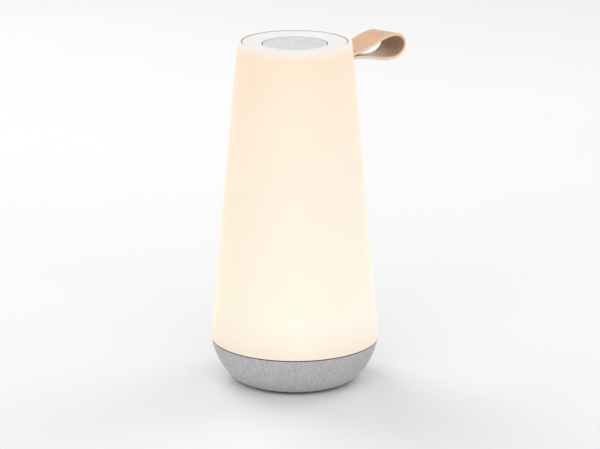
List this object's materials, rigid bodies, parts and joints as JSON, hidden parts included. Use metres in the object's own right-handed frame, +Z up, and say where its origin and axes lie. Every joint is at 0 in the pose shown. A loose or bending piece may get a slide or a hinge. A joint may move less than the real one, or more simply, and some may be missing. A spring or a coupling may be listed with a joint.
{
  "type": "smart speaker",
  "caption": "Portable lantern speaker: lit tapered shade on a knit-covered bowl base, a flush turning dial around a perforated grille, and a leather carrying loop.",
  "frame": {"origin": "on the table under the middle of the round foot", "axes": "+Z up along the shade's axis; +Y points from the axis towards the leather loop and the rear panel; +X to the right when the loop points away"},
  "size_m": [0.1304, 0.1881, 0.268],
  "materials": {
    "opal_plastic": "opal diffuser moulding, satin, lit warm white from inside",
    "white_plastic": "white satin moulding",
    "grille_plastic": "fine-perforated light grey sheet",
    "grey_plastic": "grey engineering moulding",
    "black_plastic": "black moulding, fine texture",
    "panel_plastic": "dark grey rear panel and keys, fine texture",
    "knit_cloth": "light grey melange knit",
    "acoustic_cloth": "fine black acoustic cloth",
    "tan_leather": "natural vegetable-tanned leather, pebbled grain, raw suede inside",
    "rubber": "soft black rubber",
    "seam_rubber": "thin dark brown seal",
    "steel": "zinc-plated steel",
    "cone_paper": "coated paper cone",
    "circuit_laminate": "green solder-masked laminate",
    "lamp_laminate": "white solder-masked laminate with lamps",
    "cell_wrap": null
  },
  "bodies": {
    "housing": {"amplifier_heatsink": "steel", "base_bowl": "grey_plastic", "base_chassis": "black_plastic", "base_fabric": "knit_cloth", "base_screw_1": "steel", "base_screw_2": "steel", "base_screw_3": "steel", "base_screw_4": "steel", "battery_cell_left": "cell_wrap", "battery_cell_right": "cell_wrap", "battery_cradle_left": "black_plastic", "battery_cradle_right": "black_plastic", "bottom_cover": "black_plastic", "button_board": "circuit_laminate", "charge_inlet": "steel", "column_screw_1": "steel", "column_screw_2": "steel", "column_screw_3": "steel", "column_tube": "white_plastic", "diffuser_shell": "opal_plastic", "driver_basket": "black_plastic", "driver_lead": "black_plastic", "driver_magnet": "steel", "driver_surround": "rubber", "encoder_screw_1": "steel", "encoder_screw_2": "steel", "encoder_screw_3": "steel", "foot_pad": "rubber", "grille_scrim": "acoustic_cloth", "led_board": "lamp_laminate", "light_deck": "white_plastic", "main_board": "circuit_laminate", "pairing_switch": "black_plastic", "port_panel": "panel_plastic", "power_switch": "black_plastic", "radio_module": "steel", "ring_bearing": "grey_plastic", "ring_encoder_board": "circuit_laminate", "seam_gasket": "seam_rubber", "strap_anchor": "white_plastic", "strap_clamp_plate": "steel", "strap_root": "tan_leather", "strap_screw_left": "steel", "strap_screw_right": "steel", "top_frame": "white_plastic", "top_grille": "grille_plastic", "woofer_basket": "black_plastic", "woofer_magnet": "steel", "woofer_surround": "rubber"},
    "dial": {"control_ring": "white_plastic"},
    "strap": {"strap_loop": "tan_leather"},
    "power_key": {"power_button": "panel_plastic"},
    "pairing_key": {"pairing_button": "panel_plastic"},
    "upper_cone": {"driver_cone": "cone_paper"},
    "bass_cone": {"woofer_cone": "cone_paper"}
  },
  "joints": [
    {"name": "ring_turn", "type": "hinge", "parent": "housing", "child": "dial", "pos_m": [0, 0, 0.266], "axis": [0, 0, 1], "continuous": true},
    {"name": "strap_swing", "type": "hinge", "parent": "housing", "child": "strap", "pos_m": [0, 0.0485, 0.2481], "axis": [1, 0, 0], "range_deg": [-75, 85], "stiffness_Nm_per_rad": 0.12, "springref_deg": 1.49},
    {"name": "power_press", "type": "slide", "parent": "housing", "child": "power_key", "axis": [0, -0.9295, 0.3689], "range_m": [0, 0.0006], "stiffness_N_per_m": 1200},
    {"name": "pairing_press", "type": "slide", "parent": "housing", "child": "pairing_key", "axis": [0, -0.9295, 0.3689], "range_m": [0, 0.0006], "stiffness_N_per_m": 1200},
    {"name": "driver_travel", "type": "slide", "parent": "housing", "child": "upper_cone", "axis": [0, 0, 1], "range_m": [-0.0012, 0.0012], "stiffness_N_per_m": 900, "deforming": ["driver_surround"]},
    {"name": "woofer_travel", "type": "slide", "parent": "housing", "child": "bass_cone", "axis": [0, 0, 1], "range_m": [-0.0022, 0.0022], "stiffness_N_per_m": 900, "deforming": ["woofer_surround"]}
  ]
}
